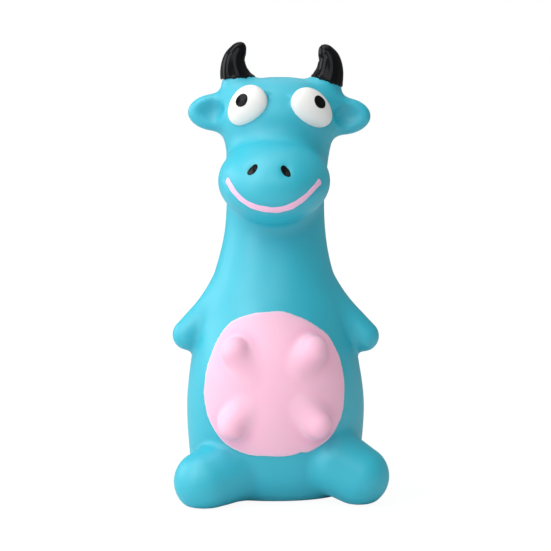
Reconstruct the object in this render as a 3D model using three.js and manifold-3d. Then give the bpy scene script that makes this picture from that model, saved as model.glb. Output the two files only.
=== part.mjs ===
// A squeaky dog toy: a seated cow, moulded hollow in one skin of soft blue rubber. Its horns,
// eyes, nostrils, mouth and udder are painted on, and a reed squeaker is pressed into its seat.
// Millimetres. +Z is up and the toy faces -Y. Left and right are as seen from its front, so
// left is -X. The two sides are a little unlike, as on the hand-finished toy.

import * as THREE from 'three';
import { mergeVertices } from 'three/addons/utils/BufferGeometryUtils.js';
import Module from 'manifold-3d';

const wasm = await Module();
wasm.setup();

// Trunk: its overall sizes, and at each station its height, width and depth, and how far it
// stands back and aside, as shares of them
const trunk = { height: 157.5, width: 66.8, depth: 58, crownRound: 20 };
const stationShares = [
	{ height: 0.01, width: 0.883, depth: 0.767, back: 0.017, aside: 0 }, // seat
	{ height: 0.213, width: 1, depth: 1, back: 0, aside: 0.006 }, // belly
	{ height: 0.353, width: 0.925, depth: 0.914, back: 0, aside: 0.001 }, // waist
	{ height: 0.455, width: 0.817, depth: 0.793, back: 0.017, aside: 0 }, // chest
	{ height: 0.543, width: 0.659, depth: 0.664, back: 0.034, aside: -0.003 }, // collar
	{ height: 0.632, width: 0.569, depth: 0.586, back: 0.043, aside: 0.003 }, // neck
	{ height: 0.734, width: 0.548, depth: 0.569, back: 0.043, aside: 0.007 }, // throat
	{ height: 0.817, width: 0.572, depth: 0.586, back: 0.026, aside: 0.019 }, // cheeks
	{ height: 0.905, width: 0.651, depth: 0.638, back: 0.009, aside: 0.021 }, // brow
	{ height: 0.988, width: 0.644, depth: 0.621, back: 0.009, aside: 0.03 } // temples
];
const seat = { under: 1.5, round: 14, thick: 3 };

// What the trunk carries: its own sizes, and its place as shares of the trunk's width, depth
// and height
const muzzle = { width: 40.9, depth: 43, height: 29.4, blend: 9 };
const muzzleShares = { x: -0.001, y: -0.293, z: 0.754 };

const ear = { width: 22.2, depth: 9.6, height: 13.7, blend: 4.5 };
const earShares = [
	{ x: -0.314, y: 0.009, z: 0.916 },
	{ x: 0.368, y: 0.009, z: 0.907 }
];
const earDish = { width: 14, depth: 7, height: 8.6, blend: 2 };
const earDishShares = { out: 0.099, up: 0.051 };

const arm = { shoulderRadius: 7.5, handRadius: 5.8, blend: 4.5 };
const armShares = [
	{ shoulder: { x: -0.263, y: 0, z: 0.476 }, hand: { x: -0.485, y: -0.06, z: 0.39 } },
	{ shoulder: { x: 0.263, y: 0, z: 0.476 }, hand: { x: 0.5, y: -0.06, z: 0.387 } }
];

const leg = { hipRadius: 13, footRadius: 11.8, blend: 6 };
const legShares = [
	{ hip: { x: -0.254, y: -0.172, z: 0.084 }, foot: { x: -0.385, y: -0.345, z: 0.06 } },
	{ hip: { x: 0.299, y: -0.138, z: 0.088 }, foot: { x: 0.466, y: -0.267, z: 0.067 } }
];

// Udder: a shallow swelling of the belly. Its paint and its four teats are placed by shares of
// its own width and height, from its middle
const udder = { width: 54, depth: 40.5, height: 60, blend: 5 };
const udderShares = { x: -0.004, y: -0.198, z: 0.286 };
const udderPaintShares = { x: 0.004, z: 0.018, width: 0.937, height: 0.873 };
const udderSquareness = 2.15;
const teat = { rootRadius: 3.4, tipRadius: 4.1, rootSunk: 2, tipStand: 3.2, blend: 5.2 };
const teatShares = [
	{ root: { x: -0.135, z: 0.092 }, tip: { x: -0.267, z: 0.228 } },
	{ root: { x: 0.128, z: 0.115 }, tip: { x: 0.246, z: 0.232 } },
	{ root: { x: -0.169, z: -0.058 }, tip: { x: -0.294, z: -0.165 } },
	{ root: { x: 0.146, z: -0.065 }, tip: { x: 0.281, z: -0.185 } }
];

// Eyes: egg-shaped domes, narrower below, that lean outward at the foot, and in each a pupil
// placed by shares of the dome
const eyeDome = { height: 15.2, width: 13.8, bulge: 4.2, sunk: 0.5 };
const eyeTaperShare = 0.15;
const eyeTurnShare = 0.75;
const pupil = { height: 5.4, width: 4 };
const eyeShares = [
	{ name: 'left', x: -0.15, z: 0.93, lean: 30, pupilX: -0.138, pupilZ: 0.158 },
	{ name: 'right', x: 0.208, z: 0.922, lean: -32, pupilX: 0.2, pupilZ: 0.197 }
];

// On the muzzle, by shares of its width and height, from its middle
const nostril = { height: 4.5, width: 2.8 };
const nostrilShares = [
	{ name: 'left', x: -0.191, z: 0.187, lean: -30 },
	{ name: 'right', x: 0.103, z: 0.17, lean: 24 }
];
const mouthLine = 2;
const mouthShares = { x: -0.005, z: 0.049, width: 0.822, drop: 0.354 };
const mouthCurve = 2.3;

// Horns: a curved axis from a root on the trunk, by shares of the horn's height
const horn = { height: 16.4, rootRadius: 6.5, middleRadius: 4.85, tipRadius: 1.7, flare: 2 };
const hornShares = [
	{ name: 'left', side: -1, x: -0.195, y: 0.034, z: 0.969, middleOut: 0.14, tipOut: -0.03 },
	{ name: 'right', side: 1, x: 0.273, y: 0.034, z: 0.963, middleOut: 0.152, tipOut: 0.04 }
];
const hornMiddleShare = 0.555;
const hornFlareShare = 0.45;
const hornPaintShare = 0.2;
const hornFluteShare = 0.045;

// Skin and paint
const wall = 2;
const film = 0.3; // a coat of paint
const clearance = 0.3; // between neighbouring pieces

// Squeaker: a cup with a flange and a barb that grip the lip of the hole in the seat
const lip = { radius: 10, thick: 3, bossRadius: 14.5 };
const housing = { wall: 1.2, flangeRadius: 13, flangeThick: 1.2, floorGap: 0.8, height: 14.5 };
const barb = { stand: 1.3, height: 2.4 };
const soundHole = 1.6;
const cover = { thick: 1.2, skirt: 2.2 };
const reedSeat = { radius: 2.9, bore: 1.6, height: 9.5, root: 4, flange: 1.2, flangeThick: 1 };
const reed = { width: 3.8, thick: 0.3, height: 9, lift: 0.5, grip: 2.6 };
const collar = { thick: 0.9, height: 2 };

// Fineness of the moulded surface
const outerCell = 4.8;
const innerCell = 8;
const sag = 0.31; // how far a facet may stand off the true surface
const shortestEdge = 2;
const weld = 0.01; // corners nearer than this are one
const probe = 0.05; // step for measuring a slope
const overrun = 1; // cutters run this far past what they cut
const reach = 60; // how far in front of the toy a ray starts

const colours = {
	rubber: { color: 0x3fb4cb, roughness: 0.62, metalness: 0 },
	blackPaint: { color: 0x16181b, roughness: 0.25, metalness: 0 },
	whitePaint: { color: 0xf1f1ee, roughness: 0.4, metalness: 0 },
	pinkPaint: { color: 0xfbc0da, roughness: 0.5, metalness: 0 },
	plastic: { color: 0xe9e9e4, roughness: 0.4, metalness: 0 },
	brass: { color: 0xc9a24a, roughness: 0.35, metalness: 0.9 }
};

// A material of the toy
function material(name) {
	const result = new THREE.MeshStandardMaterial(colours[name]);
	result.name = name;
	return result;
}

// Joins two distances with a fillet of the given reach
function blend(a, b, radius) {
	const near = Math.max(radius - Math.abs(a - b), 0) / radius;
	return Math.min(a, b) - (near * near * radius) / 4;
}

// Keeps what is inside both distances, with a rounded edge
function blendInside(a, b, radius) {
	return -blend(-a, -b, radius);
}

// Distance to an ellipse or an ellipsoid, from the offsets and the half sizes along its axes
function ellipsoidDistance(offsets, halves) {
	let scaled = 0;
	let slope = 0;
	for (let n = 0; n < offsets.length; n++) {
		scaled += (offsets[n] / halves[n]) ** 2;
		slope += (offsets[n] / halves[n] ** 2) ** 2;
	}
	if (slope === 0) return -Math.min(...halves);
	return (Math.sqrt(scaled) * (Math.sqrt(scaled) - 1)) / Math.sqrt(slope);
}

function lumpDistance(x, y, z, lump) {
	const halves = [lump.width / 2, lump.depth / 2, lump.height / 2];
	return ellipsoidDistance([x - lump.x, y - lump.y, z - lump.z], halves);
}

// Distance to a limb that tapers from one round end to the other
function limbDistance(x, y, z, start, end) {
	const along = [end.x - start.x, end.y - start.y, end.z - start.z];
	const from = [x - start.x, y - start.y, z - start.z];
	const length2 = along[0] ** 2 + along[1] ** 2 + along[2] ** 2;
	const dot = from[0] * along[0] + from[1] * along[1] + from[2] * along[2];
	const share = Math.min(Math.max(dot / length2, 0), 1);
	const gap = Math.hypot(from[0] - share * along[0], from[1] - share * along[1], from[2] - share * along[2]);
	return gap - (start.radius + share * (end.radius - start.radius));
}

// A place given by shares of the trunk's width, depth and height
function onTrunk(shares) {
	const { x, y, z = 0 } = shares;
	return { x: x * trunk.width, y: y * trunk.depth, z: z * trunk.height };
}

const stations = stationShares.map((shares) => ({
	height: shares.height * trunk.height,
	width: shares.width * trunk.width,
	depth: shares.depth * trunk.depth,
	back: shares.back * trunk.depth,
	aside: shares.aside * trunk.width
}));
const muzzleLump = { ...muzzle, ...onTrunk(muzzleShares) };
const udderLump = { ...udder, ...onTrunk(udderShares) };
const ears = earShares.map((shares) => ({ ...ear, ...onTrunk(shares) }));
const arms = armShares.map(({ shoulder, hand }) => ({
	start: { ...onTrunk(shoulder), radius: arm.shoulderRadius },
	end: { ...onTrunk(hand), radius: arm.handRadius }
}));
const legs = legShares.map(({ hip, foot }) => ({
	start: { ...onTrunk(hip), radius: leg.hipRadius },
	end: { ...onTrunk(foot), radius: leg.footRadius }
}));

// How fast a measure of the trunk changes with height at one station
function stationSlope(n, key) {
	const before = stations[Math.max(n - 1, 0)];
	const after = stations[Math.min(n + 1, stations.length - 1)];
	return (after[key] - before[key]) / (after.height - before.height);
}

// A measure of the trunk at any height, on a smooth curve through the stations
function trunkMeasure(height, key) {
	const last = stations.length - 1;
	if (height <= stations[0].height) return stations[0][key];
	if (height >= stations[last].height) return stations[last][key];
	let n = 0;
	while (stations[n + 1].height < height) n++;
	const low = stations[n];
	const high = stations[n + 1];
	const span = high.height - low.height;
	const s = (height - low.height) / span;
	const start = low[key] * (2 * s ** 3 - 3 * s ** 2 + 1);
	const end = high[key] * (3 * s ** 2 - 2 * s ** 3);
	const leaving = stationSlope(n, key) * span * (s ** 3 - 2 * s ** 2 + s);
	const arriving = stationSlope(n + 1, key) * span * (s ** 3 - s ** 2);
	return start + end + leaving + arriving;
}

function trunkDistance(x, y, z) {
	const halves = [trunkMeasure(z, 'width') / 2, trunkMeasure(z, 'depth') / 2];
	const offsets = [x - trunkMeasure(z, 'aside'), y - trunkMeasure(z, 'back')];
	const side = ellipsoidDistance(offsets, halves);
	const topped = blendInside(side, z - trunk.height, trunk.crownRound);
	return blendInside(topped, -seat.under - z, seat.round);
}

// The parts of the toy that are hollow inside
function coreDistance(x, y, z) {
	let distance = blend(trunkDistance(x, y, z), lumpDistance(x, y, z, muzzleLump), muzzle.blend);
	for (const { start, end } of arms) {
		distance = blend(distance, limbDistance(x, y, z, start, end), arm.blend);
	}
	for (const { start, end } of legs) {
		distance = blend(distance, limbDistance(x, y, z, start, end), leg.blend);
	}
	return distance;
}

function earDistance(x, y, z, leaf) {
	const outward = Math.sign(leaf.x);
	const dish = {
		...earDish,
		x: leaf.x + outward * earDishShares.out * ear.width,
		y: leaf.y - ear.depth / 2,
		z: leaf.z + earDishShares.up * ear.height
	};
	return blendInside(lumpDistance(x, y, z, leaf), -lumpDistance(x, y, z, dish), earDish.blend);
}

function belliedDistance(x, y, z) {
	return blend(coreDistance(x, y, z), lumpDistance(x, y, z, udderLump), udder.blend);
}

// Where a ray from the front, level and straight back, meets a surface
function frontOf(distance, x, z) {
	let outside = -reach;
	let inside = 0;
	while (inside - outside > probe / 2) {
		const middle = (outside + inside) / 2;
		if (distance(x, middle, z) > 0) outside = middle;
		else inside = middle;
	}
	return inside;
}

// Each teat runs from a root sunk in the udder to a tip that stands off it
function onUdder(shares, radius, behind) {
	const x = udderLump.x + shares.x * udder.width;
	const z = udderLump.z + shares.z * udder.height;
	return { x, y: frontOf(belliedDistance, x, z) + behind, z, radius };
}

const teats = teatShares.map(({ root, tip }) => ({
	start: onUdder(root, teat.rootRadius, teat.rootSunk),
	end: onUdder(tip, teat.tipRadius, -teat.tipStand)
}));

// The outside of the moulded body, all but its eyes and horns
function bodyDistance(x, y, z) {
	let distance = belliedDistance(x, y, z);
	for (const leaf of ears) distance = blend(distance, earDistance(x, y, z, leaf), ear.blend);
	for (const { start, end } of teats) {
		distance = blend(distance, limbDistance(x, y, z, start, end), teat.blend);
	}
	return distance;
}

// The inside of the skin, before the seat's floor is trimmed
function cavityDistance(x, y, z) {
	return coreDistance(x, y, z) + wall;
}

// The direction in which a distance grows, scaled so that a step along it reaches the surface
function gradient(distance, [x, y, z]) {
	const here = distance(x, y, z);
	const slope = [
		(distance(x + probe, y, z) - here) / probe,
		(distance(x, y + probe, z) - here) / probe,
		(distance(x, y, z + probe) - here) / probe
	];
	return { here, slope, steepness: Math.hypot(...slope) };
}

// Slides a point onto the surface, in a few steps of at most a quarter of a cell
function settle(distance, point) {
	const longest = outerCell / 4;
	let place = point;
	for (let turn = 0; turn < 6; turn++) {
		const { here, slope, steepness } = gradient(distance, place);
		const step = THREE.MathUtils.clamp(here / steepness, -longest, longest) / steepness;
		place = place.map((value, axis) => value - step * slope[axis]);
	}
	return place;
}

// Samples a distance on a grid of cells that covers the box
function sampleGrid(distance, box, cell) {
	const counts = box.low.map((low, axis) => Math.ceil((box.high[axis] - low) / cell) + 1);
	const at = (i, j, k) => i + counts[0] * (j + counts[1] * k);
	const place = (i, j, k) => [box.low[0] + i * cell, box.low[1] + j * cell, box.low[2] + k * cell];
	const values = new Float64Array(counts[0] * counts[1] * counts[2]);
	for (let k = 0; k < counts[2]; k++) {
		for (let j = 0; j < counts[1]; j++) {
			for (let i = 0; i < counts[0]; i++) values[at(i, j, k)] = distance(...place(i, j, k));
		}
	}
	return { counts, at, place, values };
}

// Fills grid corners until no square of the grid has its two inside corners across from each
// other, because two sheets of the net would then share an edge
function fillPinches({ counts, at, values }) {
	const pairs = [[[1, 0, 0], [0, 1, 0]], [[0, 1, 0], [0, 0, 1]], [[0, 0, 1], [1, 0, 0]]];
	let filled = 0;
	for (let k = 0; k < counts[2] - 1; k++) {
		for (let j = 0; j < counts[1] - 1; j++) {
			for (let i = 0; i < counts[0] - 1; i++) {
				for (const [u, v] of pairs) {
					const steps = [[0, 0, 0], u, u.map((value, n) => value + v[n]), v];
					const corners = steps.map((step) => at(i + step[0], j + step[1], k + step[2]));
					const [a, b, c, d] = corners.map((corner) => values[corner] < 0);
					if (a !== c || b !== d || a === b) continue;
					const open = corners.filter((corner) => values[corner] >= 0);
					const nearest = values[open[0]] < values[open[1]] ? open[0] : open[1];
					values[nearest] = -Math.max(values[nearest], probe);
					filled++;
				}
			}
		}
	}
	return filled;
}

// The middle of the points where the surface crosses a cell's edges
function cellPoint(grid, i, j, k) {
	const crossings = [];
	for (let corner = 0; corner < 8; corner++) {
		const a = [i + (corner & 1), j + ((corner >> 1) & 1), k + ((corner >> 2) & 1)];
		for (let axis = 0; axis < 3; axis++) {
			if ((corner >> axis) & 1) continue;
			const b = a.map((value, n) => value + (n === axis ? 1 : 0));
			const [va, vb] = [grid.values[grid.at(...a)], grid.values[grid.at(...b)]];
			if (va < 0 === vb < 0) continue;
			const share = va / (va - vb);
			const [pa, pb] = [grid.place(...a), grid.place(...b)];
			crossings.push(pa.map((value, n) => value + share * (pb[n] - value)));
		}
	}
	if (crossings.length === 0) return null;
	return [0, 1, 2].map((n) => crossings.reduce((sum, p) => sum + p[n], 0) / crossings.length);
}

function apart(a, b) {
	return Math.hypot(a[0] - b[0], a[1] - b[1], a[2] - b[2]);
}

// Wraps a distance's surface in a net: a point in each cell it crosses, a square on each edge
function wrap(distance, box, cell) {
	const grid = sampleGrid(distance, box, cell);
	const { counts, at, values } = grid;
	while (fillPinches(grid) > 0);
	const points = [];
	const pointOf = new Map();
	for (let k = 0; k < counts[2] - 1; k++) {
		for (let j = 0; j < counts[1] - 1; j++) {
			for (let i = 0; i < counts[0] - 1; i++) {
				const point = cellPoint(grid, i, j, k);
				if (!point) continue;
				pointOf.set(at(i, j, k), points.length);
				points.push(settle(distance, point));
			}
		}
	}
	const triangles = [];
	for (let k = 1; k < counts[2] - 1; k++) {
		for (let j = 1; j < counts[1] - 1; j++) {
			for (let i = 1; i < counts[0] - 1; i++) {
				for (let axis = 0; axis < 3; axis++) {
					const step = (n, back) => (n === axis ? back : 0);
					const near = values[at(i, j, k)] < 0;
					const far = values[at(i + step(0, 1), j + step(1, 1), k + step(2, 1))] < 0;
					if (near === far) continue;
					const b = (axis + 1) % 3;
					const c = (axis + 2) % 3;
					const around = [[0, 0], [1, 0], [1, 1], [0, 1]].map(([overB, overC]) => {
						const back = [0, 1, 2].map((n) => (n === b ? overB : 0) + (n === c ? overC : 0));
						return pointOf.get(at(i - back[0], j - back[1], k - back[2]));
					});
					const ring = near ? around : around.reverse();
					const [p, q, r, s] = ring.map((n) => points[n]);
					const even = apart(p, r) < apart(q, s);
					const turned = even ? ring : [ring[1], ring[2], ring[3], ring[0]];
					triangles.push([turned[0], turned[1], turned[2]], [turned[0], turned[2], turned[3]]);
				}
			}
		}
	}
	return { points, triangles };
}

// Evens out a net by moving each point toward the middle of its neighbours, along the surface
function relax(net, distance) {
	const neighbours = net.points.map(() => new Set());
	for (const corners of net.triangles) {
		corners.forEach((corner, n) => {
			neighbours[corner].add(corners[(n + 1) % 3]);
			neighbours[corners[(n + 1) % 3]].add(corner);
		});
	}
	const points = net.points.map((point, n) => {
		const around = [...neighbours[n]].map((other) => net.points[other]);
		const centre = point.map((_, axis) => around.reduce((sum, p) => sum + p[axis], 0) / around.length);
		return settle(distance, point.map((value, axis) => (value + centre[axis]) / 2));
	});
	return { points, triangles: net.triangles };
}

// Splits the edges whose middles stand too far off the surface, and settles the new points
function refine(net, distance) {
	const points = [...net.points];
	const middles = new Map();
	const middleOf = (a, b) => {
		const key = `${Math.min(a, b)} ${Math.max(a, b)}`;
		if (middles.has(key)) return middles.get(key);
		const centre = points[a].map((value, n) => (value + points[b][n]) / 2);
		const { here, steepness } = gradient(distance, centre);
		const far = Math.abs(here) / steepness > sag && apart(points[a], points[b]) > shortestEdge;
		middles.set(key, far ? points.push(settle(distance, centre)) - 1 : -1);
		return middles.get(key);
	};
	const triangles = [];
	for (const corners of net.triangles) {
		const split = corners.map((corner, n) => middleOf(corner, corners[(n + 1) % 3]));
		const count = split.filter((n) => n >= 0).length;
		if (count === 0) triangles.push(corners);
		if (count === 1) {
			const n = split.findIndex((point) => point >= 0);
			const [a, b, c] = [corners[n], corners[(n + 1) % 3], corners[(n + 2) % 3]];
			triangles.push([a, split[n], c], [split[n], b, c]);
		}
		if (count === 2) {
			const n = (split.findIndex((point) => point < 0) + 1) % 3;
			const [a, b, c] = [corners[n], corners[(n + 1) % 3], corners[(n + 2) % 3]];
			const [ab, bc] = [split[n], split[(n + 1) % 3]];
			triangles.push([ab, b, bc], [a, ab, bc], [a, bc, c]);
		}
		if (count === 3) {
			const [a, b, c] = corners;
			const [ab, bc, ca] = split;
			triangles.push([a, ab, ca], [ab, b, bc], [ca, bc, c], [ab, bc, ca]);
		}
	}
	return { points, triangles };
}

// A closed mesh as a solid that can be joined and cut
function solidFromMesh(positions, indices) {
	const vertProperties = new Float32Array(positions);
	const triVerts = new Uint32Array(indices);
	return new wasm.Manifold(new wasm.Mesh({ numProp: 3, vertProperties, triVerts }));
}

function solidFromGeometry(geometry) {
	const bare = geometry.clone();
	for (const name of Object.keys(bare.attributes)) {
		if (name !== 'position') bare.deleteAttribute(name);
	}
	const merged = mergeVertices(bare, probe / 100);
	return solidFromMesh(merged.attributes.position.array, merged.index.array);
}

// Joins the ends of the tiny edges that cuts leave behind, and drops the slivers beside them
function weldSlivers(points, triangles) {
	const joined = points.map((_, n) => n);
	const find = (n) => (joined[n] === n ? n : find(joined[n]));
	for (const corners of triangles) {
		corners.forEach((corner, n) => {
			const [a, b] = [find(corner), find(corners[(n + 1) % 3])];
			if (a !== b && apart(points[a], points[b]) < weld) joined[Math.max(a, b)] = Math.min(a, b);
		});
	}
	const welded = triangles.map((corners) => corners.map(find));
	return welded.filter(([a, b, c]) => a !== b && b !== c && c !== a);
}

function geometryFromSolid(solid) {
	const { numProp, vertProperties, triVerts } = solid.getMesh();
	const points = Array.from({ length: vertProperties.length / numProp }, (_, n) =>
		[0, 1, 2].map((axis) => vertProperties[n * numProp + axis])
	);
	const triangles = Array.from({ length: triVerts.length / 3 }, (_, n) =>
		[0, 1, 2].map((corner) => triVerts[3 * n + corner])
	);
	const corners = weldSlivers(points, triangles).flat();
	const geometry = new THREE.BufferGeometry();
	const positions = corners.flatMap((corner) => points[corner]);
	geometry.setAttribute('position', new THREE.Float32BufferAttribute(positions, 3));
	geometry.computeVertexNormals();
	return geometry;
}

// A net as a solid, with each point moved out along the surface's slope by the growth
function solidFromNet(net, distance, growth) {
	const grown = net.points.map((point) => {
		const { slope, steepness } = gradient(distance, point);
		return point.map((value, n) => value + (growth * slope[n]) / steepness);
	});
	return solidFromMesh(grown.flat(), net.triangles.flat());
}

// The box that the moulded body fills, with a margin
function bodyBox() {
	const margin = 2 * innerCell;
	const lumps = [muzzleLump, udderLump, ...ears].map((lump) => ({ ...lump, radius: lump.width / 2 }));
	const balls = [...[...arms, ...legs].map((limb) => limb.end), ...lumps];
	const widest = Math.max(...stations.map((station) => station.width)) / 2;
	const deepest = Math.max(...stations.map((station) => station.depth)) / 2;
	const side = Math.max(widest, ...balls.map((ball) => Math.abs(ball.x) + ball.radius));
	const front = Math.max(deepest, ...balls.map((ball) => (ball.depth ?? 2 * ball.radius) / 2 - ball.y));
	return {
		low: [-side - margin, -front - margin, -seat.under - margin],
		high: [side + margin, deepest + margin, trunk.height + margin]
	};
}

const box = bodyBox();
let bodyNet = wrap(bodyDistance, box, outerCell);
for (let turn = 0; turn < 3; turn++) bodyNet = relax(bodyNet, bodyDistance);
for (let turn = 0; turn < 2; turn++) bodyNet = refine(bodyNet, bodyDistance);
const cavityNet = wrap(cavityDistance, box, innerCell);

const eyes = eyeShares.map(({ name, x, z, lean, pupilX, pupilZ }) => {
	const centre = { x: x * trunk.width, z: z * trunk.height };
	return {
		name,
		lean,
		...centre,
		pupilX: centre.x + pupilX * eyeDome.width,
		pupilZ: centre.z + pupilZ * eyeDome.height
	};
});

// One eye's dome, set on the head and turned part of the way to face as the head does there
function eyeSolid(eye, growth) {
	const geometry = new THREE.SphereGeometry(1, 22, 12);
	geometry.rotateX(Math.PI / 2);
	const places = geometry.attributes.position;
	for (let n = 0; n < places.count; n++) {
		const taper = 1 + eyeTaperShare * places.getY(n);
		places.setX(n, places.getX(n) * taper);
	}
	geometry.scale(eyeDome.width / 2 + growth, eyeDome.height / 2 + growth, eyeDome.bulge + growth);
	geometry.rotateZ(-THREE.MathUtils.degToRad(eye.lean));
	geometry.rotateX(Math.PI / 2);
	const front = frontOf(bodyDistance, eye.x, eye.z);
	const { slope } = gradient(bodyDistance, [eye.x, front, eye.z]);
	const turn = Math.atan2(slope[0], -slope[1]) * eyeTurnShare;
	geometry.rotateZ(turn);
	geometry.translate(eye.x, front + eyeDome.sunk, eye.z);
	return solidFromGeometry(geometry);
}

// One horn: rings of alternate ridge and flute along its axis, flared at the root, with a
// rounded tip
function hornSolid(shares, growth, fromShare) {
	const rings = 7;
	const ridges = 8;
	const root = onTrunk(shares);
	const along = (out, up) =>
		new THREE.Vector3(root.x + shares.side * out * horn.height, root.y, root.z + up * horn.height);
	const points = [along(0, 0), along(shares.middleOut, hornMiddleShare), along(shares.tipOut, 1)];
	const axis = new THREE.CatmullRomCurve3(points);
	const pulled = horn.middleRadius * 2 - (horn.rootRadius + horn.tipRadius) / 2;
	const radiusAt = (share) => {
		const spread = Math.max(1 - share / hornFlareShare, 0) ** 2 * horn.flare;
		const low = horn.rootRadius * (1 - share) ** 2 + spread;
		return low + 2 * pulled * share * (1 - share) + horn.tipRadius * share ** 2;
	};
	const positions = [];
	const addRing = (share, radius, ahead) => {
		const centre = axis.getPoint(share).addScaledVector(axis.getTangent(share), ahead);
		const across = new THREE.Vector3(0, 1, 0);
		const sideways = new THREE.Vector3().crossVectors(axis.getTangent(share), across).normalize();
		for (let n = 0; n < 2 * ridges; n++) {
			const angle = (Math.PI * n) / ridges;
			const ridge = radius * (1 + (n % 2 ? -hornFluteShare : hornFluteShare));
			const point = centre.clone().addScaledVector(sideways, ridge * Math.cos(angle));
			positions.push(...point.addScaledVector(across, -ridge * Math.sin(angle)).toArray());
		}
	};
	for (let n = 0; n < rings; n++) {
		const share = fromShare + ((1 - fromShare) * n) / (rings - 1);
		addRing(share, radiusAt(share) + growth, 0);
	}
	const tipRadius = horn.tipRadius + growth;
	const tipAngle = Math.PI / 5;
	addRing(1, tipRadius * Math.cos(tipAngle), tipRadius * Math.sin(tipAngle));
	const foot = positions.length / 3;
	positions.push(...axis.getPoint(fromShare).toArray());
	const head = foot + 1;
	positions.push(...axis.getPoint(1).addScaledVector(axis.getTangent(1), tipRadius).toArray());
	const indices = [];
	const width = 2 * ridges;
	for (let n = 0; n < width; n++) {
		const next = (n + 1) % width;
		indices.push(foot, next, n);
		for (let ring = 0; ring < rings; ring++) {
			const [a, b, c, d] = [n, next, next + width, n + width].map((m) => m + ring * width);
			indices.push(a, b, c, a, c, d);
		}
		indices.push(rings * width + n, rings * width + next, head);
	}
	return solidFromMesh(positions, indices);
}

// The whole outside of the toy, grown by a layer's height
function outside(growth) {
	let solid = solidFromNet(bodyNet, bodyDistance, growth);
	for (const eye of eyes) solid = solid.add(eyeSolid(eye, growth));
	for (const shares of hornShares) solid = solid.add(hornSolid(shares, growth, 0));
	return solid;
}

// A block or a round plug that stands on a level
function block(width, depth, low, high) {
	const geometry = new THREE.BoxGeometry(width, depth, high - low);
	geometry.translate(0, 0, (low + high) / 2);
	return solidFromGeometry(geometry);
}

function plug(radius, low, high) {
	const geometry = new THREE.CylinderGeometry(radius, radius, high - low, 32);
	geometry.rotateX(Math.PI / 2);
	geometry.translate(0, 0, (low + high) / 2);
	return solidFromGeometry(geometry);
}

// A turned piece, from the radius and height of each point of its closed profile
function turned(profile, segments) {
	const points = [...profile, profile[0]].map(([radius, height]) => new THREE.Vector2(radius, height));
	const geometry = new THREE.LatheGeometry(points, segments);
	geometry.rotateX(Math.PI / 2);
	return solidFromGeometry(geometry);
}

// Levels of the squeaker, from the floor up
const flangeLow = housing.floorGap;
const flangeHigh = flangeLow + housing.flangeThick;
const lipLow = flangeHigh + clearance;
const lipHigh = lipLow + lip.thick;
const barbLow = lipHigh + clearance;
const rim = flangeLow + housing.height;
const neckRadius = lip.radius - clearance;
const boreRadius = neckRadius - housing.wall;
const coverLow = rim + clearance;
const coverHigh = coverLow + cover.thick;
const seatRootLow = coverLow - cover.skirt - reedSeat.root;
const seatLow = seatRootLow - reedSeat.height + reedSeat.root;

function toySkin() {
	const boxWidth = 4 * reach;
	const above = block(boxWidth, boxWidth, 0, 4 * reach);
	const insideAbove = block(boxWidth, boxWidth, seat.thick, 4 * reach);
	const boss = plug(lip.bossRadius, -overrun, lipHigh);
	const cavity = solidFromNet(cavityNet, cavityDistance, 0).intersect(insideAbove).subtract(boss);
	const recess = plug(housing.flangeRadius + clearance, -overrun, lipLow);
	const hole = plug(lip.radius, -overrun, lipHigh + overrun);
	return outside(0).intersect(above).subtract(cavity).subtract(recess).subtract(hole);
}

// A tool that cuts straight back along an outline seen from the front, as far as a depth
function outlineCutter(points, back) {
	const shape = new THREE.Shape(points.map(([x, z]) => new THREE.Vector2(x, z)));
	const geometry = new THREE.ExtrudeGeometry(shape, { depth: reach + back, bevelEnabled: false });
	geometry.rotateX(Math.PI / 2);
	geometry.translate(0, back, 0);
	return solidFromGeometry(geometry);
}

function ovalPoints(x, z, height, width, lean, count) {
	const tilt = THREE.MathUtils.degToRad(lean);
	return Array.from({ length: count }, (_, n) => {
		const angle = (2 * Math.PI * n) / count;
		const [across, along] = [(width / 2) * Math.cos(angle), (height / 2) * Math.sin(angle)];
		return [
			x + across * Math.cos(tilt) + along * Math.sin(tilt),
			z - across * Math.sin(tilt) + along * Math.cos(tilt)
		];
	});
}

// The udder's painted outline, a little squarer than an oval
function udderPoints() {
	const count = 48;
	const power = 2 / udderSquareness;
	const shares = udderPaintShares;
	const centre = [udderLump.x + shares.x * udder.width, udderLump.z + shares.z * udder.height];
	const halves = [(shares.width * udder.width) / 2, (shares.height * udder.height) / 2];
	return Array.from({ length: count }, (_, n) => {
		const angle = (2 * Math.PI * n) / count;
		return [Math.cos(angle), Math.sin(angle)].map((value, axis) => {
			return centre[axis] + halves[axis] * Math.sign(value) * Math.abs(value) ** power;
		});
	});
}

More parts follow.
